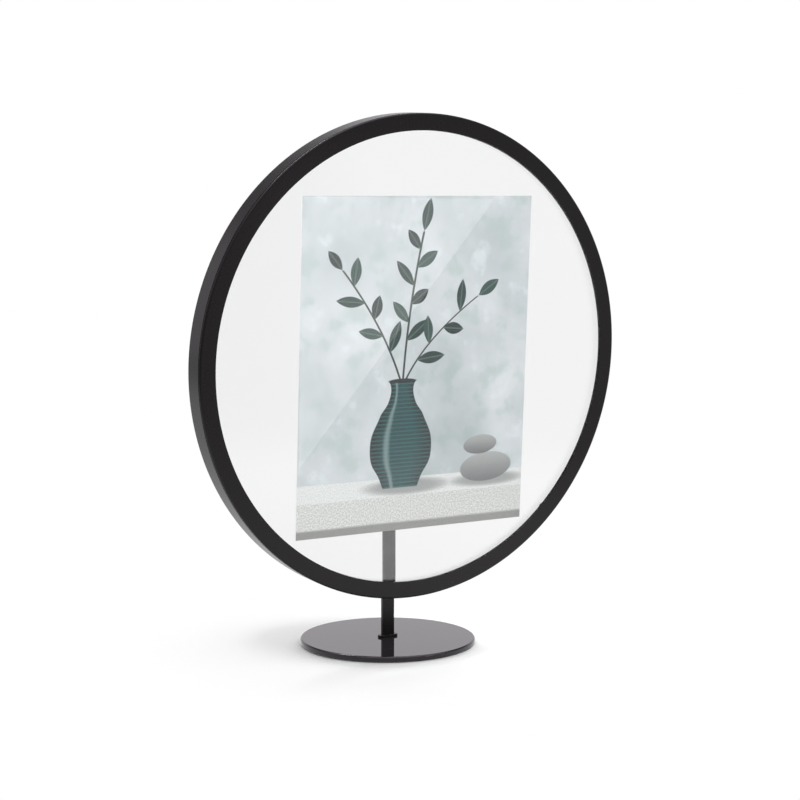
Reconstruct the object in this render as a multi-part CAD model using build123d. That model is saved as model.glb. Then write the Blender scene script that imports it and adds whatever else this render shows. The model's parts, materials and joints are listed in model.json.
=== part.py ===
from build123d import *
import os
from math import cos, radians, sin, sqrt

# Round table-top picture frame. A hoop holds two round panes with a print between them, and a strip stem
# on a round base carries the rear pane at its middle, on a hinge that friction holds.
# Lengths are millimetres. +Z is up, -Y is the side that the picture faces, and the origin is the middle
# of the base's underside. The hoop and all that it holds are drawn upright about the hinge's axis, with
# depth measured back from the hoop's front face, and are then leaned forward to the rest pose.

# Stance of the whole frame
centre_height = 226.8
stem_offset = 46.5
lean_angle = 3.0

# Hoop
hoop_radius = 184.4
hoop_depth = 18.5
face_width = 12.9
hoop_wall = 1.5
lip_thickness = 2.6
hoop_front_radius = 1.5
hoop_edge_radius = 0.5

# Panes, print and gasket
glass_thickness = 2.5
glass_edge_chamfer = 0.4
glass_play = 0.3
print_width = 203.2
print_height = 254.0
print_thickness = 0.25
print_drop = 4.0
gasket_thickness = 0.5
gasket_margin = 0.6

# Turn clips, their lugs and their screws
clip_count = 4
lug_reach = 6.2
lug_width = 10.0
weld_gap = 0.05
clip_width = 5.0
clip_thickness = 1.2
clip_lap = 1.9
clip_edge_radius = 0.25
clip_screw_radius = 1.25
clip_screw_grip = 4.5
clip_head_radius = 2.2
clip_head_height = 1.5
clip_head_round = 0.6
cross_length = 2.4
cross_width = 0.5
cross_depth = 0.7

# Hub that is bonded to the rear pane
pad_thickness = 1.0
pad_margin = 1.5
hub_radius = 32.0
hub_plate_thickness = 3.0
hub_plate_chamfer = 1.2
cheek_thickness = 5.0
cheek_radius = 7.5
cheek_root = 26.0
cheek_root_fillet = 1.5
cheek_edge_radius = 0.6
pin_standoff = 10.0

# Hinge hardware
pin_radius = 2.5
tilt_head_radius = 4.75
tilt_head_height = 2.75
tilt_head_round = 1.6
socket_across = 3.0
socket_depth = 1.6
friction_washer_thickness = 1.0
friction_washer_radius = 5.3
spring_thickness = 0.5
spring_rise = 0.5
spring_radius = 5.0
nut_across = 8.0
nut_height = 4.0
nut_dome_radius = 3.8
nut_chamfer = 0.4

# Stem and its foot
strip_width = 10.5
strip_thickness = 3.0
strip_edge_radius = 0.3
bend_radius = 14.0
foot_length = 17.0
foot_width = 7.0
foot_thickness = 1.8
foot_edge_radius = 0.6
foot_screw_radius = 1.5
foot_screw_head_radius = 2.75
foot_screw_short = 0.2

# Base
base_radius = 68.75
base_thickness = 4.2
base_top_radius = 1.6
base_bottom_chamfer = 0.4
base_pad_thickness = 0.8
base_pad_margin = 2.5

# Clearances
running_fit = 0.05
thread_play = 0.05
bolt_play = 0.1
cut_overrun = 1.0

# How much of the turn the rolled end of the strip makes, as a share of a full circle
knuckle_turn_share = 0.77

# Places that follow from the sizes above. Depths are measured back from the hoop's front face.
well_radius = hoop_radius - hoop_wall
lug_inner_radius = well_radius - weld_gap - lug_reach
glass_radius = lug_inner_radius - glass_play
opening_radius = hoop_radius - face_width
front_glass_depth = lip_thickness + gasket_thickness
print_depth = front_glass_depth + glass_thickness
rear_glass_depth = print_depth + print_thickness
glass_back_depth = rear_glass_depth + glass_thickness
hub_depth = glass_back_depth + pad_thickness
hub_back_depth = hub_depth + hub_plate_thickness
pin_depth = hub_back_depth + pin_standoff

clip_radius = lug_inner_radius + lug_reach / 2
clip_depth = glass_back_depth + running_fit
clip_head_depth = clip_depth + clip_thickness + running_fit
clip_tip_radius = glass_radius - clip_lap

knuckle_bore = pin_radius + running_fit
knuckle_middle = knuckle_bore + strip_thickness / 2
cheek_inner = strip_width / 2 + running_fit + friction_washer_thickness + running_fit
cheek_outer = cheek_inner + cheek_thickness
spring_face = cheek_outer + spring_thickness + spring_rise
nut_bore_end = spring_face + nut_height

base_top = base_pad_thickness + base_thickness
foot_top = base_top + foot_thickness
pin_y = pin_depth * cos(radians(lean_angle)) - stem_offset
pin_z = centre_height + pin_depth * sin(radians(lean_angle))


def leaned(shape):
    """Carries a piece from the upright drawing about the hinge's axis to its place on the stand."""
    return Pos(0, pin_y, pin_z) * Rot(X=lean_angle) * shape


def disc_facing_front(radius, thickness, depth):
    """A round plate square to the hoop's axis, whose front face lies at the given depth."""
    face = Plane.XZ * Circle(radius)
    return Pos(0, depth - pin_depth, 0) * extrude(face, amount=-thickness)


def frame_ring():
    """The hoop: an L section, lip to the front and round at its outer corner, carried round the axis."""
    front = -pin_depth
    lip_back = front + lip_thickness
    hoop_back = front + hoop_depth
    section = make_face(Polyline(
        (opening_radius, front),
        (hoop_radius, front),
        (hoop_radius, hoop_back),
        (well_radius, hoop_back),
        (well_radius, lip_back),
        (opening_radius, lip_back),
        close=True,
    ))
    section = fillet(section.vertices().group_by(Axis.X)[0], hoop_edge_radius)
    section = fillet(section.vertices().group_by(Axis.Y)[-1], hoop_edge_radius)
    section = fillet(section.vertices().sort_by_distance((hoop_radius, front))[0], hoop_front_radius)
    return revolve(section, Axis.Y)


def lip_gasket():
    """A thin flat strip between the lip and the front pane, just inside both of their edges."""
    ring = Circle(glass_radius - gasket_margin) - Circle(opening_radius + gasket_margin)
    return Pos(0, lip_thickness - pin_depth, 0) * extrude(Plane.XZ * ring, amount=-gasket_thickness)


def pane(depth):
    """A round pane with seamed edges."""
    disc = disc_facing_front(glass_radius, glass_thickness, depth)
    return chamfer(disc.edges().filter_by(GeomType.CIRCLE), glass_edge_chamfer)


def photo_print():
    """The paper between the panes, a little below the hoop's centre."""
    sheet = Plane.XZ * Rectangle(print_width, print_height)
    return Pos(0, print_depth - pin_depth, -print_drop) * extrude(sheet, amount=-print_thickness)


def clip_lug():
    """A block welded inside the hoop, with a threaded hole; drawn at the hoop's right-hand side."""
    length = glass_back_depth - lip_thickness - weld_gap
    block = Plane.XZ * Pos(clip_radius, 0) * Rectangle(lug_reach + face_width, lug_width)
    block = Pos(0, lip_thickness + weld_gap - pin_depth, 0) * extrude(block, amount=-length)
    well = disc_facing_front(well_radius - weld_gap, hoop_depth, 0)
    inner_side = Plane.YZ.offset(lug_inner_radius) * Rectangle(hoop_radius, hoop_radius)
    keep = extrude(inner_side, amount=hoop_radius)
    hole = disc_facing_front(clip_screw_radius + thread_play, hoop_depth, lip_thickness + cut_overrun)
    return (block & well & keep) - Pos(clip_radius, 0, 0) * hole


def turn_clip():
    """A flat clip with round ends that turns on its screw, shown closed over the pane's edge."""
    reach = clip_radius - clip_tip_radius - clip_width / 2
    outline = SlotCenterToCenter(reach, clip_width)
    plate = extrude(Plane.XZ * Pos(clip_radius - reach / 2, 0) * outline, amount=-clip_thickness)
    plate = fillet(plate.edges().group_by(Axis.Y)[-1], clip_edge_radius)
    hole = Plane.XZ * Pos(clip_radius, 0) * Circle(clip_screw_radius + running_fit)
    plate -= extrude(hole, amount=-clip_thickness)
    return Pos(0, clip_depth - pin_depth, 0) * plate


def clip_screw():
    """A pan-head screw with a cross recess, through the clip into its lug."""
    head = disc_facing_front(clip_head_radius, clip_head_height, clip_head_depth)
    head = fillet(head.edges().filter_by(GeomType.CIRCLE).group_by(Axis.Y)[-1], clip_head_round)
    recess_depth = clip_head_depth + clip_head_height - cross_depth
    bars = Rectangle(cross_length, cross_width) + Rectangle(cross_width, cross_length)
    recess = extrude(Plane.XZ * bars, amount=-(cross_depth + cut_overrun))
    head -= Pos(0, recess_depth - pin_depth, 0) * recess
    shank_length = clip_head_depth - glass_back_depth + clip_screw_grip
    shank = disc_facing_front(clip_screw_radius, shank_length, glass_back_depth - clip_screw_grip)
    return Pos(clip_radius, 0, 0) * (head + shank)


def bond_pad():
    """The pad that bonds the hub to the rear pane."""
    return disc_facing_front(hub_radius - pad_margin, pad_thickness, glass_back_depth)


def cheek():
    """One ear of the hub: a round end about the pin, tangent to a broad root on the plate."""
    root_end = (-pin_standoff - hub_plate_thickness / 2, cheek_root / 2)
    root_start = (-pin_standoff - hub_plate_thickness / 2, -cheek_root / 2)
    outline = make_hull(Circle(cheek_radius).edges() + [Line(root_start, root_end)])
    ear = extrude(Plane.YZ * outline, amount=cheek_thickness)
    rounded = [edge for edge in ear.edges().filter_by(Axis.X, reverse=True)
               if edge.center().Y > root_end[0] + cheek_edge_radius]
    return Pos(cheek_inner, 0, 0) * fillet(rounded, cheek_edge_radius)


def glass_hub():
    """The cast hub: a round plate with two cheeks, blended at their roots and bored for the pin."""
    plate = disc_facing_front(hub_radius, hub_plate_thickness, hub_depth)
    plate = chamfer(plate.edges().filter_by(GeomType.CIRCLE).group_by(Axis.Y)[-1], hub_plate_chamfer)
    ear = cheek()
    hub = plate + ear + mirror(ear, about=Plane.YZ)
    plate_back = hub_back_depth - pin_depth
    seat = [face for face in hub.faces().filter_by(Plane.XZ)
            if abs(face.center().Y - plate_back) < cheek_edge_radius]
    roots = [edge for wire in seat[0].inner_wires() for edge in wire.edges()]
    hub = fillet(roots, cheek_root_fillet)
    bore = Plane.YZ * Circle(pin_radius + bolt_play)
    return hub - extrude(bore, amount=cheek_outer + cut_overrun, both=True)


def friction_washer(side):
    """A plain washer between the stem's knuckle and a cheek; side is -1 at the left and +1 at the right."""
    ring = Circle(friction_washer_radius) - Circle(pin_radius + bolt_play)
    inner = strip_width / 2 + running_fit
    washer = extrude(Plane.YZ.offset(inner) * ring, amount=friction_washer_thickness)
    return washer if side > 0 else mirror(washer, about=Plane.YZ)


def tilt_screw():
    """The hinge's bolt, with a round head and a hexagon socket at the left."""
    head = extrude(Plane.YZ.offset(-cheek_outer) * Circle(tilt_head_radius), amount=-tilt_head_height)
    head = fillet(head.edges().group_by(Axis.X)[0], tilt_head_round)
    socket_plane = Plane.YZ.offset(-cheek_outer - tilt_head_height + socket_depth)
    socket = extrude(socket_plane * RegularPolygon(socket_across / sqrt(3), 6), amount=-tilt_head_height)
    shank = Plane.YZ.offset(-cheek_outer) * Circle(pin_radius)
    return head - socket + extrude(shank, amount=cheek_outer + nut_bore_end)


def disc_spring():
    """A conical spring washer under the nut, which keeps the hinge's friction even."""
    inner = pin_radius + bolt_play
    section = make_face(Polyline(
        (cheek_outer, spring_radius),
        (cheek_outer + spring_thickness, spring_radius),
        (spring_face, inner),
        (spring_face - spring_thickness, inner),
        close=True,
    ))
    return revolve(section, Axis.X)


def tilt_nut():
    """A domed cap nut on the bolt's right-hand end."""
    hexagon = Plane.YZ.offset(spring_face) * RegularPolygon(nut_across / sqrt(3), 6)
    dome = Pos(spring_face + nut_height, 0, 0) * Sphere(nut_dome_radius)
    outside = Plane.YZ.offset(spring_face) * Circle(nut_across / sqrt(3) - nut_chamfer)
    nut = extrude(hexagon, amount=nut_height) & extrude(outside, amount=nut_height)
    nut += dome & extrude(outside, amount=nut_height + nut_dome_radius)
    bore = Plane.YZ.offset(spring_face) * Circle(pin_radius + thread_play)
    return nut - extrude(bore, amount=nut_height + thread_play)


def stem():
    """The strip: up from the foot, bent forward, and rolled under and round the pin into a knuckle."""
    arm_z = pin_z - knuckle_middle
    upright = Line((0, foot_top), (0, arm_z - bend_radius))
    bend = JernArc(upright @ 1, upright % 1, bend_radius, 90)
    arm = Line(bend @ 1, (pin_y, arm_z))
    knuckle = JernArc(arm @ 1, arm % 1, knuckle_middle, -360 * knuckle_turn_share)
    profile = trace([upright, bend, arm, knuckle], strip_thickness)
    strip = extrude(Plane.YZ * profile, amount=strip_width / 2, both=True)
    return fillet(strip.edges().filter_by(Axis.X, reverse=True), strip_edge_radius)


def foot_screw_places():
    """The two screws stand at the centres of the foot's round ends."""
    reach = (foot_length - foot_width) / 2
    return [Pos(-reach, 0, 0), Pos(reach, 0, 0)]


def stem_foot():
    """The oval plate that is welded to the strip's end and screwed down on the base."""
    outline = SlotOverall(foot_length, foot_width)
    plate = Pos(0, 0, base_top) * extrude(outline, amount=foot_thickness)
    plate = fillet(plate.edges().group_by(Axis.Z)[-1], foot_edge_radius)
    hole = Pos(0, 0, base_top) * extrude(Circle(foot_screw_radius + thread_play), amount=foot_thickness)
    for place in foot_screw_places():
        plate -= place * hole
    return plate


def foot_screw():
    """A countersunk screw, head down in the base's underside."""
    head_height = foot_screw_head_radius - foot_screw_radius
    head = Cone(foot_screw_head_radius, foot_screw_radius, head_height,
                align=(Align.CENTER, Align.CENTER, Align.MIN))
    shank = extrude(Circle(foot_screw_radius), amount=base_thickness + foot_thickness - foot_screw_short)
    bars = Rectangle(cross_length, cross_width) + Rectangle(cross_width, cross_length)
    return Pos(0, 0, base_pad_thickness) * (head + shank - extrude(bars, amount=cross_depth))


def foot_screws():
    """Both screws of the foot."""
    return Compound(children=[place * foot_screw() for place in foot_screw_places()])


def base_disc():
    """The round foot of the stand, eased at its rim and countersunk from below."""
    disc = Pos(0, 0, base_pad_thickness) * extrude(Circle(base_radius), amount=base_thickness)
    disc = fillet(disc.edges().group_by(Axis.Z)[-1], base_top_radius)
    disc = chamfer(disc.edges().group_by(Axis.Z)[0], base_bottom_chamfer)
    hole_radius = foot_screw_radius + bolt_play
    sink_radius = foot_screw_head_radius + bolt_play
    sink = Cone(sink_radius, hole_radius, sink_radius - hole_radius,
                align=(Align.CENTER, Align.CENTER, Align.MIN))
    hole = Pos(0, 0, base_pad_thickness) * (sink + extrude(Circle(hole_radius), amount=base_thickness))
    for place in foot_screw_places():
        disc -= place * hole
    return disc


def base_pad():
    """The thin pad under the base that stands on the table."""
    return extrude(Circle(base_radius - base_pad_margin), amount=base_pad_thickness)


nodes = {
    "base_pad": base_pad(),
    "base_disc": base_disc(),
    "foot_screws": foot_screws(),
    "stem_foot": stem_foot(),
    "stem": stem(),
    "tilt_screw": leaned(tilt_screw()),
    "friction_washer_left": leaned(friction_washer(-1)),
    "friction_washer_right": leaned(friction_washer(1)),
    "disc_spring": leaned(disc_spring()),
    "tilt_nut": leaned(tilt_nut()),
    "glass_hub": leaned(glass_hub()),
    "bond_pad": leaned(bond_pad()),
    "rear_glass": leaned(pane(rear_glass_depth)),
    "photo_print": leaned(photo_print()),
    "front_glass": leaned(pane(front_glass_depth)),
    "lip_gasket": leaned(lip_gasket()),
    "frame_ring": leaned(frame_ring()),
}
for number in range(1, clip_count + 1):
    turn = Rot(Y=-360 * (number - 1 / 2) / clip_count)
    nodes[f"clip_lug_{number}"] = leaned(turn * clip_lug())
    nodes[f"turn_clip_{number}"] = leaned(turn * turn_clip())
    nodes[f"clip_screw_{number}"] = leaned(turn * clip_screw())

os.makedirs("parts", exist_ok=True)
for name, shape in nodes.items():
    export_step(shape, f"parts/{name}.step")
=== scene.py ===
import json
import math

import bmesh
import bpy
import numpy as np
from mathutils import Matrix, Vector


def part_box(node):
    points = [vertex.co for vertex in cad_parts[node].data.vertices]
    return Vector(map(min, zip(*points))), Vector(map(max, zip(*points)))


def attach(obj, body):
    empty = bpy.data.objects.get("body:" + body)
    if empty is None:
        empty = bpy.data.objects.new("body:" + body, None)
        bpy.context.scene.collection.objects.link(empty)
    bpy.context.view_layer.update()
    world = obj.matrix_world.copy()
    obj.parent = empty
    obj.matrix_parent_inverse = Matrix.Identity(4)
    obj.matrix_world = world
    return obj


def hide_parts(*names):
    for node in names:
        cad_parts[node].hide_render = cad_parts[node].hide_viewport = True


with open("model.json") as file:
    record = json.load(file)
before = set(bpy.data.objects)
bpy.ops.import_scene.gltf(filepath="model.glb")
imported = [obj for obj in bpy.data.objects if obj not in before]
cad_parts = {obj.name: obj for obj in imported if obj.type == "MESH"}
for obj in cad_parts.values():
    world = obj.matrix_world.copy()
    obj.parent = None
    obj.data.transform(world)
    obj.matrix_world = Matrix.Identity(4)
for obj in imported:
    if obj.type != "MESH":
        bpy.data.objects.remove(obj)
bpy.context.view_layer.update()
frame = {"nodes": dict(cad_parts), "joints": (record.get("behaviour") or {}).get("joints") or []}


# Base pad. A die-cut sheet of black rubber under the base, so that no steel touches the table.
# It is matte, with the pebble grain of pressed sheet.
def add_node(tree, kind, inputs=None, **settings):
    """Adds one shader node. Each input is a socket to link from, or a constant for that input."""
    node = tree.nodes.new(kind)
    for name, value in settings.items():
        setattr(node, name, value)
    for name, value in (inputs or {}).items():
        if isinstance(value, bpy.types.NodeSocket):
            tree.links.new(value, node.inputs[name])
        else:
            node.inputs[name].default_value = value
    return node


def new_finish(name):
    """An empty material, its node tree and its output node."""
    finish = bpy.data.materials.new(name)
    finish.use_nodes = True
    finish.node_tree.nodes.clear()
    return finish, finish.node_tree, finish.node_tree.nodes.new("ShaderNodeOutputMaterial")


def calc(tree, operation, *values):
    """One step of arithmetic on values or sockets."""
    return add_node(tree, "ShaderNodeMath", dict(enumerate(values)), operation=operation).outputs[0]


def grain(tree, scale, detail=3.0, place=None):
    """Noise over the piece's own coordinates, with so many lumps to the metre."""
    place = place or add_node(tree, "ShaderNodeTexCoord").outputs["Object"]
    inputs = {"Vector": place, "Scale": scale, "Detail": detail}
    return add_node(tree, "ShaderNodeTexNoise", inputs).outputs["Fac"]


def spread(tree, noise, low, high):
    """Carries noise from the middle of its range to the range from low to high."""
    noise_low, noise_high = 0.3, 0.7
    inputs = {"Value": noise, "From Min": noise_low, "From Max": noise_high, "To Min": low, "To Max": high}
    return add_node(tree, "ShaderNodeMapRange", inputs).outputs["Result"]


def between(tree, share, first, second):
    """A colour on the way from the first to the second by a share from 0 to 1."""
    first_colour, second_colour, mixed_colour = 6, 7, 2
    mix = add_node(tree, "ShaderNodeMix", {"Factor": share}, data_type="RGBA")
    for socket, colour in ((mix.inputs[first_colour], first), (mix.inputs[second_colour], second)):
        if isinstance(colour, bpy.types.NodeSocket):
            tree.links.new(colour, socket)
        else:
            socket.default_value = (*colour, 1.0)
    return mix.outputs[mixed_colour]


def bumped(tree, height, strength, distance, under=None):
    """A normal that a height of so many metres has bent, on top of another bump where one is given."""
    inputs = {"Height": height, "Strength": strength, "Distance": distance}
    if under:
        inputs["Normal"] = under
    return add_node(tree, "ShaderNodeBump", inputs).outputs["Normal"]


def rubber_finish(name, dark, light, lumps):
    """Matte rubber: a pebble grain, paler on its crests."""
    finish, tree, output = new_finish(name)
    pebble = grain(tree, lumps)
    shader = add_node(tree, "ShaderNodeBsdfPrincipled", {
        "Base Color": between(tree, spread(tree, pebble, 0.0, 1.0), dark, light),
        "Roughness": spread(tree, pebble, 0.75, 0.9),
        "Normal": bumped(tree, pebble, 0.35, 0.0003)})
    tree.links.new(shader.outputs["BSDF"], output.inputs["Surface"])
    return finish


def finish_nodes(finish, *names):
    """Gives carried-over CAD nodes their finish."""
    for name in names:
        slots = frame["nodes"][name].data.materials
        slots.clear()
        slots.append(finish)


finish_nodes(rubber_finish("pressed_rubber", (0.012, 0.012, 0.012), (0.03, 0.03, 0.031), 900.0), "base_pad")


# Base disc. A turned steel plate, its rim eased on the lathe, in gloss black lacquer. Seen from low down it
# mirrors the white room and the stem, with the faint wave of a surface polished by hand.
def rounded(corners, steps=6):
    """A closed outline through corners (a, b, radius): each corner becomes an arc of that radius, tangent to
    both sides, at centre + radius (cos t, sin t); radius 0 keeps it sharp."""
    points = []
    for i, (a, b, radius) in enumerate(corners):
        corner = np.array([a, b])
        if not radius:
            points.append(corner[None])
            continue
        ways = [np.array(corners[j % len(corners)][:2]) - corner for j in (i - 1, i + 1)]
        before, after = (way / np.linalg.norm(way) for way in ways)
        half = np.arccos(np.clip(before @ after, -1, 1)) / 2
        centre = corner + (before + after) / np.linalg.norm(before + after) * radius / np.sin(half)
        start, end = (np.arctan2(*(corner + way * radius / np.tan(half) - centre)[::-1])
                      for way in (before, after))
        t = start + ((end - start + np.pi) % (2 * np.pi) - np.pi) * np.linspace(0, 1, steps + 1)
        points.append(centre + radius * np.stack([np.cos(t), np.sin(t)], axis=1))
    return np.concatenate(points)


def skin(name, grid, finish, capped=False):
    """A closed smooth mesh over a grid of points: row i joins row i + 1 and the last row joins the first,
    while along a row the last point joins the first too. When capped, the rows don't close, and each end is
    filled."""
    merge_distance, crease = 1e-7, math.radians(40)
    rows, columns = grid.shape[:2]
    i = np.arange(rows - 1 if capped else rows)[:, None]
    j = np.arange(columns)[None]
    i_next, j_next = (i + 1) % rows, (j + 1) % columns
    quads = np.stack([i * columns + j, i * columns + j_next,
                      i_next * columns + j_next, i_next * columns + j], -1)
    faces = quads.reshape(-1, 4).tolist()
    if capped:
        faces += [list(range(columns)), list(range((rows - 1) * columns, rows * columns))]
    mesh = bpy.data.meshes.new(name)
    mesh.from_pydata(grid.reshape(-1, 3).tolist(), [], faces)
    work = bmesh.new()
    work.from_mesh(mesh)
    bmesh.ops.remove_doubles(work, verts=work.verts, dist=merge_distance)
    bmesh.ops.recalc_face_normals(work, faces=work.faces)
    work.to_mesh(mesh)
    work.free()
    mesh.polygons.foreach_set("use_smooth", np.ones(len(mesh.polygons), bool))
    mesh.set_sharp_from_angle(angle=crease)
    mesh.materials.append(finish)
    piece = bpy.data.objects.new(name, mesh)
    bpy.context.scene.collection.objects.link(piece)
    piece.modifiers.new("face_weighted_normals", "WEIGHTED_NORMAL").keep_sharp = True
    return piece


def turned(name, outline, steps, finish, origin=(0, 0, 0), axis=(0, 0, 1)):
    """A turned piece: each point (r, h) of a closed outline goes to origin + h axis + r (cos t x + sin t s),
    where s is axis cross x, for t in equal steps of a full turn. Points of radius 0 meet on the axis."""
    axis, across = np.array(axis), np.array([1.0, 0.0, 0.0])
    t = 2 * np.pi * np.arange(steps) / steps
    ring = np.cos(t)[:, None] * across + np.sin(t)[:, None] * np.cross(axis, across)
    grid = np.array(origin) + outline[:, None, 1:] * axis + outline[:, None, :1] * ring
    return skin(name, grid, finish, capped=outline[0, 0] == 0)


def gloss_lacquer():
    """Gloss black lacquer, rubbed out by hand: a long wave in the surface and a dust of fine pits."""
    finish, tree, output = new_finish("gloss_lacquer")
    wave, pits = grain(tree, 22.0, detail=5.0), grain(tree, 2600.0, detail=1.0)
    dark, light = (0.0115, 0.0095, 0.012), (0.0155, 0.0135, 0.016)
    shader = add_node(tree, "ShaderNodeBsdfPrincipled", {
        "Base Color": between(tree, spread(tree, pits, 0.0, 1.0), dark, light),
        "Roughness": spread(tree, wave, 0.03, 0.06),
        "IOR": 1.5,
        "Specular Tint": (1.0, 0.955, 1.0, 1.0),
        "Normal": bumped(tree, wave, 0.03, 0.0002)})
    tree.links.new(shader.outputs["BSDF"], output.inputs["Surface"])
    return finish


low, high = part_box("base_disc")
base_top_ease, base_under_ease, base_steps = 0.0016, 0.0004, 240
base_outline = rounded([
    (0.0, low.z, 0), (high.x, low.z, base_under_ease), (high.x, high.z, base_top_ease), (0.0, high.z, 0)])
base = turned("base_plate", base_outline, base_steps, gloss_lacquer())
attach(base, "stand")
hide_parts("base_disc")


# Foot screws. Two countersunk steel screws, zinc plated, driven up through the base into the stem's foot.
def plated_steel(name, dark, light, rough_low, rough_high):
    """Plated steel: a slightly cloudy metal with the turning marks of a screw machine."""
    finish, tree, output = new_finish(name)
    cloud, marks = grain(tree, 700.0), grain(tree, 4000.0)
    shader = add_node(tree, "ShaderNodeBsdfPrincipled", {
        "Base Color": between(tree, spread(tree, cloud, 0.0, 1.0), dark, light),
        "Metallic": 1.0,
        "Roughness": spread(tree, cloud, rough_low, rough_high),
        "Normal": bumped(tree, marks, 0.12, 0.0001)})
    tree.links.new(shader.outputs["BSDF"], output.inputs["Surface"])
    return finish


zinc_plate = plated_steel("zinc_plate", (0.5, 0.5, 0.51), (0.66, 0.66, 0.67), 0.22, 0.36)
finish_nodes(zinc_plate, "foot_screws")


# Stem foot. An oval steel plate that the strip is welded to. The two are powder coated together in satin
# black, whose orange peel and speckle only show where light grazes them.
def satin_powder_coat():
    """Satin black powder coat: orange peel about a millimetre across under a fine speckle."""
    finish, tree, output = new_finish("satin_powder_coat")
    peel, speckle = grain(tree, 800.0, detail=2.0), grain(tree, 5200.0, detail=1.0)
    peel_normal = bumped(tree, peel, 0.08, 0.0002)
    dark, light = (0.0032, 0.0026, 0.003), (0.0054, 0.0047, 0.005)
    shader = add_node(tree, "ShaderNodeBsdfPrincipled", {
        "Base Color": between(tree, spread(tree, speckle, 0.0, 1.0), dark, light),
        "Roughness": spread(tree, peel, 0.22, 0.28),
        "IOR": 1.36,
        "Specular Tint": (1.0, 0.96, 0.98, 1.0),
        "Normal": bumped(tree, speckle, 0.03, 0.00005, under=peel_normal)})
    tree.links.new(shader.outputs["BSDF"], output.inputs["Surface"])
    return finish


powder_coat = satin_powder_coat()
finish_nodes(powder_coat, "stem_foot")


# Stem. A flat steel strip, bent forward at the top and rolled round the hinge's pin, in the same coat.
finish_nodes(powder_coat, "stem")


# Hub. A zinc casting with two cheeks for the hinge, in the same coat, and the foam tape that bonds it to the
# rear pane.
finish_nodes(powder_coat, "glass_hub")
finish_nodes(rubber_finish("bonding_foam", (0.03, 0.03, 0.03), (0.06, 0.06, 0.06), 2200.0), "bond_pad")


# Hinge hardware. A bolt and cap nut of zinc-plated steel squeeze a spring washer and two nylon washers, whose
# friction holds the frame at any tilt.
def nylon_finish():
    """Natural nylon, cloudy where it is pressed."""
    finish, tree, output = new_finish("natural_nylon")
    cloud = grain(tree, 500.0)
    shader = add_node(tree, "ShaderNodeBsdfPrincipled", {
        "Base Color": between(tree, spread(tree, cloud, 0.0, 1.0), (0.66, 0.65, 0.6), (0.76, 0.75, 0.71)),
        "Roughness": spread(tree, cloud, 0.4, 0.55)})
    tree.links.new(shader.outputs["BSDF"], output.inputs["Surface"])
    return finish


spring_steel = plated_steel("spring_steel", (0.28, 0.28, 0.3), (0.4, 0.4, 0.42), 0.28, 0.4)
finish_nodes(zinc_plate, "tilt_screw", "tilt_nut")
finish_nodes(spring_steel, "disc_spring")
finish_nodes(nylon_finish(), "friction_washer_left", "friction_washer_right")


# Panes. Two rounds of clear float glass with seamed edges, a film of air short of all that they touch. Lamps
# shine through them, so that they shade the print and the floor only lightly.
pin = Vector(next(entry for entry in frame["joints"] if entry["name"] == "tilt")["pos_m"])
depth_way = -Vector(next(entry for entry in frame["joints"] if entry["name"] == "clip_turn_1")["axis"])
lean = math.atan2(depth_way.z, depth_way.y)


def reach(node_name, way):
    """How far a node reaches along a direction from the hinge's axis, at its near and its far side."""
    mesh = frame["nodes"][node_name].data
    spots = np.empty(len(mesh.vertices) * 3)
    mesh.vertices.foreach_get("co", spots)
    along = (spots.reshape(-1, 3) - np.array(pin)) @ np.array(way)
    return along.min(), along.max()


def float_glass():
    """Clear float glass, a little grey in the body. Rays that go to lamps or leave matte surfaces pass
    straight through it."""
    finish, tree, output = new_finish("clear_float_glass")
    glass = add_node(tree, "ShaderNodeBsdfPrincipled", {
        "Base Color": (0.975, 0.976, 0.976, 1.0),
        "Roughness": 0.0,
        "IOR": 1.5,
        "Transmission Weight": 1.0})
    path = add_node(tree, "ShaderNodeLightPath").outputs
    passing = add_node(tree, "ShaderNodeBsdfTransparent", {"Color": (0.9, 0.91, 0.905, 1.0)})
    mix = add_node(tree, "ShaderNodeMixShader", {
        0: calc(tree, "MAXIMUM", path["Is Shadow Ray"], path["Is Diffuse Ray"]),
        1: glass.outputs["BSDF"], 2: passing.outputs["BSDF"]})
    tree.links.new(mix.outputs[0], output.inputs["Surface"])
    return finish


clear_glass = float_glass()
pane_edge, air, pane_steps = 0.0004, 0.00002, 256
for node_name in ("rear_glass", "front_glass"):
    front, back = reach(node_name, depth_way)
    front, back = front + air, back - air
    radius = reach(node_name, (1, 0, 0))[1]
    pane_outline = np.array([
        (0.0, front), (radius - pane_edge, front), (radius, front + pane_edge), (radius, back - pane_edge),
        (radius - pane_edge, back), (0.0, back)])
    pane = turned(node_name + "_pane", pane_outline, pane_steps, clear_glass, pin, depth_way)
    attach(pane, "framed_glass")
    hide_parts(node_name)


# Photo print. A sheet of glossy photo paper between the panes. Its picture is a still life: a ribbed teal
# vase with three leafy twigs and two pebbles on a stone ledge, before a pale plaster wall.
def fade(tree, value, none, full):
    """A smooth share that goes from 0 where the value is none to 1 where it is full."""
    return add_node(tree, "ShaderNodeMapRange", {"Value": value, "From Min": none, "From Max": full},
                    interpolation_type="SMOOTHSTEP").outputs["Result"]


def turned_place(tree, place, centre, angle, size):
    """The place measured from a centre, along an angle, in units of the half length and half width."""
    inputs = {"Vector": place, "Location": (*centre, 0.0), "Rotation": (0.0, 0.0, angle),
              "Scale": (*size, 1.0)}
    shifted = add_node(tree, "ShaderNodeMapping", inputs, vector_type="TEXTURE").outputs["Vector"]
    return add_node(tree, "ShaderNodeSeparateXYZ", {"Vector": shifted}).outputs


def oval_share(tree, place, centre, angle, size, soft):
    """1 inside an oval, where x squared + y squared is under 1, soft at its edge by a share of its size."""
    x, y = turned_place(tree, place, centre, angle, size)[:2]
    square = calc(tree, "MULTIPLY_ADD", x, x, calc(tree, "MULTIPLY", y, y))
    return fade(tree, square, 1 + soft, 1 - soft)


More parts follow.
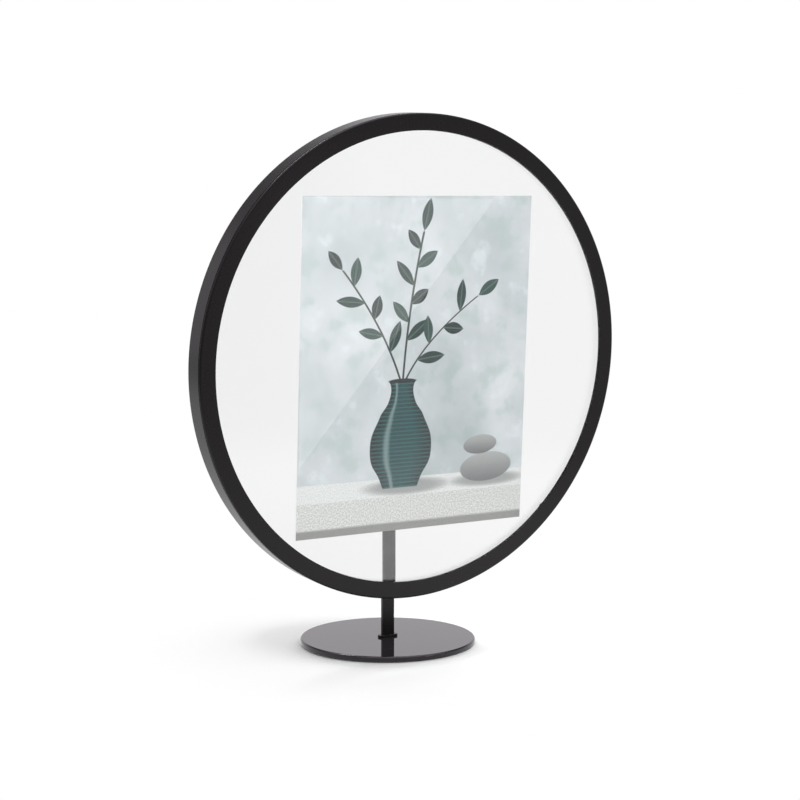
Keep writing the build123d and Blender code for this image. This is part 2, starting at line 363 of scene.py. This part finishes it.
def leaf_share(tree, place, centre, angle, size):
    """1 inside a leaf with two pointed ends, where |y| + x squared is under 1, and its midrib, where |y| is
    close to 0."""
    x, y = turned_place(tree, place, centre, angle, size)[:2]
    side = calc(tree, "ABSOLUTE", y)
    return fade(tree, calc(tree, "MULTIPLY_ADD", x, x, side), 1.06, 0.94), fade(tree, side, 0.16, 0.02)


def washed(tree, share, weight, under, colour):
    """A thin colour over what is under it, by a share times the colour's weight."""
    return between(tree, calc(tree, "MULTIPLY", share, weight), under, colour)


def plaster(tree, place, patches):
    """A pale plaster wall, with cool patches, green stains, and the tooth of the trowel."""
    stains = grain(tree, 44.0, detail=6.0, place=place)
    tooth = grain(tree, 620.0, detail=3.0, place=place)
    wall = between(tree, spread(tree, patches, 0.0, 1.0), (0.52, 0.56, 0.585), (0.735, 0.76, 0.79))
    wall = washed(tree, fade(tree, stains, 0.5, 0.66), 0.6, wall, (0.46, 0.55, 0.54))
    wall = washed(tree, fade(tree, stains, 0.44, 0.3), 0.6, wall, (0.8, 0.84, 0.88))
    return washed(tree, fade(tree, tooth, 0.55, 0.75), 0.25, wall, (0.38, 0.45, 0.46))


def twig_and_leaves(tree, place, u, v, picture, mouth, lean_out, curl, height, leaf_count):
    """A twig from the vase's mouth along u = lean_out t + curl t squared for a rise t up to a height, with
    leaves to both sides and one at the tip, laid over the picture."""
    leaf_shades = ((0.006, 0.034, 0.028), (0.018, 0.06, 0.048), (0.003, 0.02, 0.018))
    mouth_u, mouth_v = mouth
    rise = calc(tree, "SUBTRACT", v, mouth_v)
    line = calc(tree, "MULTIPLY_ADD", calc(tree, "MULTIPLY_ADD", rise, curl, lean_out), rise, mouth_u)
    off_line = calc(tree, "ABSOLUTE", calc(tree, "SUBTRACT", u, line))
    twig = calc(tree, "MULTIPLY", fade(tree, off_line, 0.0011, 0.0007), fade(tree, rise, -0.001, 0.0))
    twig = calc(tree, "MULTIPLY", twig, fade(tree, rise, height, height - 0.001))
    picture = between(tree, twig, picture, (0.03, 0.04, 0.036))
    for number, t in enumerate(np.linspace(0.3, 1.0, leaf_count) * height):
        along = math.atan2(1.0, lean_out + 2 * curl * t)
        splay = 0.0 if number == leaf_count - 1 else (0.85 if number % 2 else -0.8)
        length, width = 0.0125 - 0.0016 * (number % 3), 0.0046 - 0.0005 * (number % 2)
        tip_way = np.array([math.cos(along + splay), math.sin(along + splay)])
        centre = np.array([mouth_u + lean_out * t + curl * t * t, mouth_v + t]) + tip_way * length
        leaf, rib = leaf_share(tree, place, centre.tolist(), along + splay, (length, width))
        picture = between(tree, leaf, picture, leaf_shades[number % 3])
        picture = washed(tree, calc(tree, "MULTIPLY", leaf, rib), 0.6, picture, (0.16, 0.22, 0.2))
    return picture


def still_life(tree, place, u, v):
    """The picture over (u, v) in metres from the sheet's middle, v up."""
    patches = grain(tree, 17.0, detail=4.0, place=place)
    vase_shade = oval_share(tree, place, (0.028, -0.052), 0.25, (0.034, 0.062), 0.95)
    picture = washed(tree, vase_shade, 0.3, plaster(tree, place, patches), (0.2, 0.27, 0.28))

    speckle = grain(tree, 900.0, detail=4.0, place=place)
    ledge_front = between(tree, fade(tree, speckle, 0.35, 0.65), (0.5, 0.5, 0.49), (0.8, 0.8, 0.79))
    ledge_top = between(tree, fade(tree, speckle, 0.3, 0.7), (0.66, 0.67, 0.67), (0.84, 0.85, 0.85))
    ledge_line = calc(tree, "MULTIPLY_ADD", patches, 0.0012, v)
    ledge = between(tree, fade(tree, ledge_line, -0.0995, -0.1005), ledge_top, ledge_front)
    ledge = between(tree, fade(tree, ledge_line, -0.119, -0.1215), ledge, (0.26, 0.26, 0.25))
    picture = between(tree, fade(tree, ledge_line, -0.0855, -0.0865), picture, ledge)
    vase_foot = oval_share(tree, place, (-0.006, -0.0935), 0.0, (0.036, 0.006), 0.7)
    stone_foot = oval_share(tree, place, (0.068, -0.0935), 0.0, (0.032, 0.005), 0.7)
    picture = washed(tree, calc(tree, "MAXIMUM", vase_foot, stone_foot), 0.65, picture, (0.12, 0.13, 0.13))

    mouth = (-0.012, -0.017)
    for lean_out, curl, height, leaf_count in (
            (-0.35, -2.9, 0.09, 6), (0.05, 0.7, 0.118, 7), (0.45, 7.9, 0.068, 5)):
        picture = twig_and_leaves(tree, place, u, v, picture, mouth, lean_out, curl, height, leaf_count)

    vase_low, vase_high, vase_half, vase_ribs = -0.094, -0.012, 0.0275, 27
    level = calc(tree, "DIVIDE", calc(tree, "SUBTRACT", v, vase_low), vase_high - vase_low)
    profile = add_node(tree, "ShaderNodeFloatCurve", {"Value": level})
    curve = profile.mapping.curves[0]
    for spot in ((0.08, 0.66), (0.36, 1.0), (0.66, 0.72), (0.84, 0.4), (0.93, 0.36)):
        curve.points.new(*spot)
    curve.points[0].location, curve.points[-1].location = (0.0, 0.56), (1.0, 0.46)
    profile.mapping.update()
    half = calc(tree, "MULTIPLY", profile.outputs["Value"], vase_half)
    off = calc(tree, "SUBTRACT", u, mouth[0])
    sideways = fade(tree, calc(tree, "SUBTRACT", half, calc(tree, "ABSOLUTE", off)), -2e-4, 2e-4)
    upwards = calc(tree, "MULTIPLY", fade(tree, level, -0.006, 0.006), fade(tree, level, 1.006, 0.994))
    around = calc(tree, "DIVIDE", off, half)
    turning = fade(tree, calc(tree, "ABSOLUTE", around), 0.35, 1.0)
    glaze = between(tree, turning, (0.004, 0.05, 0.055), (0.001, 0.006, 0.008))
    ribs = calc(tree, "SINE", calc(tree, "MULTIPLY", level, 2 * math.pi * vase_ribs))
    glaze = washed(tree, fade(tree, ribs, 0.1, 1.0), 0.55, glaze, (0.035, 0.17, 0.17))
    glint = fade(tree, calc(tree, "ABSOLUTE", calc(tree, "ADD", around, 0.48)), 0.16, 0.0)
    glaze = washed(tree, glint, 0.45, glaze, (0.38, 0.5, 0.5))
    picture = between(tree, calc(tree, "MULTIPLY", sideways, upwards), picture, glaze)
    hollow = oval_share(tree, place, (mouth[0], vase_high), 0.0, (vase_half * 0.44, 0.0017), 0.25)
    picture = between(tree, hollow, picture, (0.008, 0.014, 0.015))

    for centre, size in (((0.067, -0.0835), (0.024, 0.0115)), ((0.061, -0.0655), (0.0155, 0.0075))):
        stone = oval_share(tree, place, centre, 0.06, size, 0.05)
        tone = calc(tree, "MULTIPLY_ADD", calc(tree, "SUBTRACT", v, centre[1]), 0.55 / size[1], 0.45)
        grey = between(tree, tone, (0.16, 0.165, 0.17), (0.44, 0.45, 0.45))
        grey = washed(tree, fade(tree, speckle, 0.5, 0.7), 0.35, grey, (0.22, 0.22, 0.23))
        picture = between(tree, stone, picture, grey)
    return picture


def photo_paper(centre):
    """Glossy photo paper about a sheet's middle: the picture in front, plain white on the back and edges."""
    finish, tree, output = new_finish("photo_paper")
    here = add_node(tree, "ShaderNodeTexCoord").outputs["Object"]
    flat = Vector((centre.x, centre.y * math.cos(lean) + centre.z * math.sin(lean),
                   centre.z * math.cos(lean) - centre.y * math.sin(lean)))
    inputs = {"Vector": here, "Rotation": (-lean, 0.0, 0.0), "Location": tuple(-flat)}
    upright = add_node(tree, "ShaderNodeMapping", inputs).outputs["Vector"]
    u, depth, v = add_node(tree, "ShaderNodeSeparateXYZ", {"Vector": upright}).outputs
    place = add_node(tree, "ShaderNodeCombineXYZ", {"X": u, "Y": v}).outputs["Vector"]
    fibre = grain(tree, 300.0, detail=5.0)
    back = between(tree, spread(tree, fibre, 0.0, 1.0), (0.78, 0.78, 0.77), (0.84, 0.84, 0.84))
    behind_ink = fade(tree, depth, -0.0001, -0.00006)
    shader = add_node(tree, "ShaderNodeBsdfPrincipled", {
        "Base Color": between(tree, behind_ink, still_life(tree, place, u, v), back),
        "Roughness": spread(tree, fibre, 0.38, 0.5),
        "Coat Weight": 0.25,
        "Coat Roughness": 0.03})
    tree.links.new(shader.outputs["BSDF"], output.inputs["Surface"])
    return finish


low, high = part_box("photo_print")
finish_nodes(photo_paper((low + high) / 2), "photo_print")


# Lip gasket. A thin strip of black foam rubber between the hoop's lip and the front pane.
finish_nodes(rubber_finish("gasket_foam", (0.012, 0.012, 0.012), (0.025, 0.025, 0.025), 1800.0), "lip_gasket")


# Hoop. An L section, rolled edge-on into a ring and welded, then powder coated. Its front corner is well
# rounded, and a fine groove behind the corner draws a dark line beside the line of light.
front, back = reach("frame_ring", depth_way)
hoop_radius = reach("frame_ring", (1, 0, 0))[1]
face_width, lip, wall, ease, front_ease = 0.0129, 0.0026, 0.0015, 0.0005, 0.0015
groove_depth, groove_front, groove_back = 0.001, 0.0016, 0.0025
corner_steps, hoop_steps = 10, 360
hoop_outline = rounded([
    (hoop_radius - face_width, front, ease), (hoop_radius, front, front_ease),
    (hoop_radius, front + groove_front, 0), (hoop_radius - groove_depth, front + groove_front, 0),
    (hoop_radius - groove_depth, front + groove_back, 0), (hoop_radius, front + groove_back, 0),
    (hoop_radius, back, ease), (hoop_radius - wall, back, ease),
    (hoop_radius - wall, front + lip, 0), (hoop_radius - face_width, front + lip, ease)], corner_steps)
hoop = turned("hoop", hoop_outline, hoop_steps, powder_coat, pin, depth_way)
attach(hoop, "framed_glass")
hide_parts("frame_ring")


# Lugs, turn clips and their screws. The lugs are welded in the hoop and centre the panes. The clips turn on
# plated screws and hold the rear pane in.
for number in range(1, 5):
    finish_nodes(powder_coat, f"clip_lug_{number}", f"turn_clip_{number}")
    finish_nodes(zinc_plate, f"clip_screw_{number}")


# Floor. A white sweep that takes soft shadows. The eye finds it paper white, with painted shade that greys it
# a little through the panes close behind the frame. Mirrors see a painted pool of light round the frame,
# dimmer towards the front left, with painted shade right under the base.
backdrop_way, right_way = (0.532, 0.847, 0.0), (0.866, 0.5, 0.0)


def going(tree, place, way):
    """How far a place or a direction goes along a way."""
    product = add_node(tree, "ShaderNodeVectorMath", {0: place, 1: way}, operation="DOT_PRODUCT")
    return product.outputs["Value"]


def mixed(tree, share, first, second):
    """A number on the way from the first to the second by a share from 0 to 1."""
    first_number, second_number = 2, 3
    return add_node(tree, "ShaderNodeMix", {0: share, first_number: first, second_number: second}).outputs[0]


def white_sweep():
    """Matte white near the base, so that shadows fall on it, and a glow of its own farther off and in
    mirrors. The glow carries painted shade through the panes behind the frame, and in mirrors a painted pool
    of light round the frame with painted shade under the base."""
    finish, tree, output = new_finish("white_sweep")
    here = add_node(tree, "ShaderNodeTexCoord").outputs["Object"]
    away = add_node(tree, "ShaderNodeVectorMath", {0: here}, operation="LENGTH").outputs["Value"]
    path = add_node(tree, "ShaderNodeLightPath").outputs
    mirrored = fade(tree, path["Glossy Depth"], 0.0, 1.0)
    through_glass = fade(tree, path["Transmission Depth"], 0.0, 1.0)
    # Painted shade: the glow seen through the panes close behind the frame is dimmed a little.
    painted_shade_behind_frame = calc(tree, "MULTIPLY", through_glass, fade(tree, away, 1.1, 0.3))
    seen = calc(tree, "MULTIPLY_ADD", painted_shade_behind_frame, -0.09, 1.0)
    side = going(tree, here, right_way)
    behind = going(tree, here, backdrop_way)
    to_the_right = calc(tree, "MULTIPLY_ADD", fade(tree, side, -1.6, -0.4), 0.24, 0.14)
    to_the_right = calc(tree, "MULTIPLY_ADD", fade(tree, side, -0.25, 0.1), 0.25, to_the_right)
    # Painted pool of light: in mirrors the floor glows brighter close to the frame.
    pool = calc(tree, "MULTIPLY_ADD", fade(tree, away, 0.9, 0.35), 0.55, to_the_right)
    # Painted shade: in mirrors the floor right under the base glows dimmer.
    painted_shade_under_base = calc(tree, "MULTIPLY_ADD", fade(tree, away, 0.07, 0.17), 0.6, 0.4)
    front_sheen = calc(tree, "MULTIPLY", pool, painted_shade_under_base)
    far_dim = calc(tree, "MULTIPLY_ADD", fade(tree, away, 2.2, 0.9), 0.45, 0.55)
    back_sheen = calc(tree, "MULTIPLY", fade(tree, behind, -0.15, 0.0), far_dim)
    glow = mixed(tree, mirrored, seen, calc(tree, "MAXIMUM", front_sheen, back_sheen))
    diffuse = add_node(tree, "ShaderNodeBsdfDiffuse", {"Color": (0.8, 0.8, 0.8, 1.0)})
    emission = add_node(tree, "ShaderNodeEmission", {"Strength": glow})
    both = add_node(tree, "ShaderNodeMixShader", {
        0: calc(tree, "MAXIMUM", mirrored, fade(tree, away, 0.085, 0.2)),
        1: diffuse.outputs[0], 2: emission.outputs[0]})
    tree.links.new(both.outputs[0], output.inputs["Surface"])
    return finish


floor_half = 8.0
floor_mesh = bpy.data.meshes.new("floor")
corners = np.array([(-1, -1, 0), (1, -1, 0), (1, 1, 0), (-1, 1, 0)]) * floor_half
floor_mesh.from_pydata(corners.tolist(), [], [(0, 1, 2, 3)])
floor_mesh.materials.append(white_sweep())
floor = bpy.data.objects.new("floor", floor_mesh)
the_floor = bpy.data.collections.new("the_floor")
all_but_the_floor = bpy.data.collections.new("all_but_the_floor")
for group in (the_floor, all_but_the_floor):
    group.objects.link(floor)
all_but_the_floor.collection_objects[0].light_linking.link_state = "EXCLUDE"
bpy.context.scene.collection.objects.link(floor)


# Room. White to the eye all round. Mirrors see a white backdrop behind the frame that dims towards the sides
# and upwards, a bright panel straight overhead and a dimmer one high in front, all with a faint pink cast.
# The light that falls from the room on matte surfaces is even and soft.
world = bpy.data.worlds.new("studio")
bpy.context.scene.world = world
world.use_nodes = True
sky = world.node_tree
sky.nodes.clear()
way = add_node(sky, "ShaderNodeTexCoord").outputs["Generated"]
toward = going(sky, way, backdrop_way)
height = add_node(sky, "ShaderNodeSeparateXYZ", {"Vector": way}).outputs["Z"]
wall_light = calc(sky, "MULTIPLY_ADD", fade(sky, toward, -0.6, 0.3), 0.6, 0.2)
wall_light = calc(sky, "MULTIPLY_ADD", fade(sky, toward, 0.6, 0.9), 0.2, wall_light)
ceiling_dim = calc(sky, "MULTIPLY_ADD", fade(sky, height, 0.53, 0.33), 0.85, 0.15)
panel = calc(sky, "MULTIPLY", fade(sky, height, 0.6, 0.85), 1.7)
front_panel = calc(sky, "MULTIPLY", fade(sky, toward, 0.2, -0.2), fade(sky, height, 0.1, 0.4))
front_panel = calc(sky, "MULTIPLY", front_panel, 0.55)
all_round = calc(sky, "MULTIPLY_ADD", wall_light, ceiling_dim, calc(sky, "MAXIMUM", panel, front_panel))
path = add_node(sky, "ShaderNodeLightPath").outputs
in_mirror = fade(sky, path["Glossy Depth"], 0.0, 1.0)
soft_fill = 0.6
strength = mixed(sky, path["Is Diffuse Ray"], mixed(sky, in_mirror, 1.0, all_round), soft_fill)
plain_white, mirrored_white = (1.0, 1.0, 1.0), (1.0, 0.965, 1.005)
backdrop = add_node(sky, "ShaderNodeBackground", {
    "Color": between(sky, in_mirror, plain_white, mirrored_white), "Strength": strength})
sky.links.new(backdrop.outputs[0], add_node(sky, "ShaderNodeOutputWorld").inputs["Surface"])


# Lamps. A soft key from the front left, a strip overhead at the back for the edge light, and two grazing
# strips that only light the floor, from the right and from the back, for the shadows that lie on it.
def softbox(name, place, aim, size, power):
    """A rectangular lamp at a place, facing another, that no camera sees."""
    lamp = bpy.data.lights.new(name, "AREA")
    lamp.shape = "RECTANGLE"
    lamp.size, lamp.size_y = size
    lamp.energy = power
    box = bpy.data.objects.new(name, lamp)
    box.location = place
    box.rotation_euler = (Vector(aim) - Vector(place)).to_track_quat("-Z", "Y").to_euler()
    box.visible_camera = False
    bpy.context.scene.collection.objects.link(box)
    return box


key = softbox("key", (-0.9, -1.1, 1.3), (0, 0, 0.2), (0.8, 0.8), 30.0)
key.visible_glossy = False
key.light_linking.receiver_collection = all_but_the_floor
softbox("edge_strip", (-0.2, 0.68, 1.3), (-0.1, -0.03, 0.4), (0.5, 0.12), 3.0)
for name, place, size, power in (("grazing_strip_right", (0.47, -0.525, 0.073), (1.05, 0.073), 23.5),
                                 ("grazing_strip_back", (0.65, 1.03, 0.34), (1.7, 0.3), 22.5)):
    strip = softbox(name, place, (0, 0, place[2]), size, power)
    strip.visible_glossy = False
    strip.light_linking.receiver_collection = the_floor


# Glare card. A pale three-cornered board to the right of the view, which shows only as the glare on the panes
# and the print.
card_centre, card_facing = Vector((0.222, -0.42, 0.188)), Vector((-0.531, 0.833, 0.153))
card_across = Vector((0, 0, 1)).cross(card_facing).normalized()
card_up = card_facing.cross(card_across).normalized()
card_corners = ((-0.086, 0.124), (0.091, -0.152), (0.103, 0.116))
card_mesh = bpy.data.meshes.new("glare_card")
card_mesh.from_pydata([card_centre + card_across * a + card_up * b for a, b in card_corners], [], [(0, 1, 2)])
card_finish, card_tree, card_output = new_finish("glare_card")
card_glow = add_node(card_tree, "ShaderNodeEmission", {"Strength": 2.2})
card_tree.links.new(card_glow.outputs[0], card_output.inputs["Surface"])
card_mesh.materials.append(card_finish)
card = bpy.data.objects.new("glare_card", card_mesh)
bpy.context.scene.collection.objects.link(card)
card.visible_camera = card.visible_diffuse = card.visible_shadow = card.visible_transmission = False


# Camera. Low and to the left of the frame, looking a little down.
camera_yaw, camera_pitch = math.radians(32.17), math.radians(6.12)
focal_pixels, picture_pixels, film_width = 1917.2, 800, 36.0
level_part = math.cos(camera_pitch)
looking = Vector((math.sin(camera_yaw) * level_part, math.cos(camera_yaw) * level_part,
                  -math.sin(camera_pitch)))
lens = bpy.data.cameras.new("camera")
lens.sensor_width = film_width
lens.lens = focal_pixels * film_width / picture_pixels
camera = bpy.data.objects.new("camera", lens)
camera.location = (-0.7806, -1.2593, 0.3509)
camera.rotation_euler = looking.to_track_quat("-Z", "Y").to_euler()
bpy.context.scene.collection.objects.link(camera)
bpy.context.scene.camera = camera
bpy.context.scene.view_settings.view_transform = "Standard"
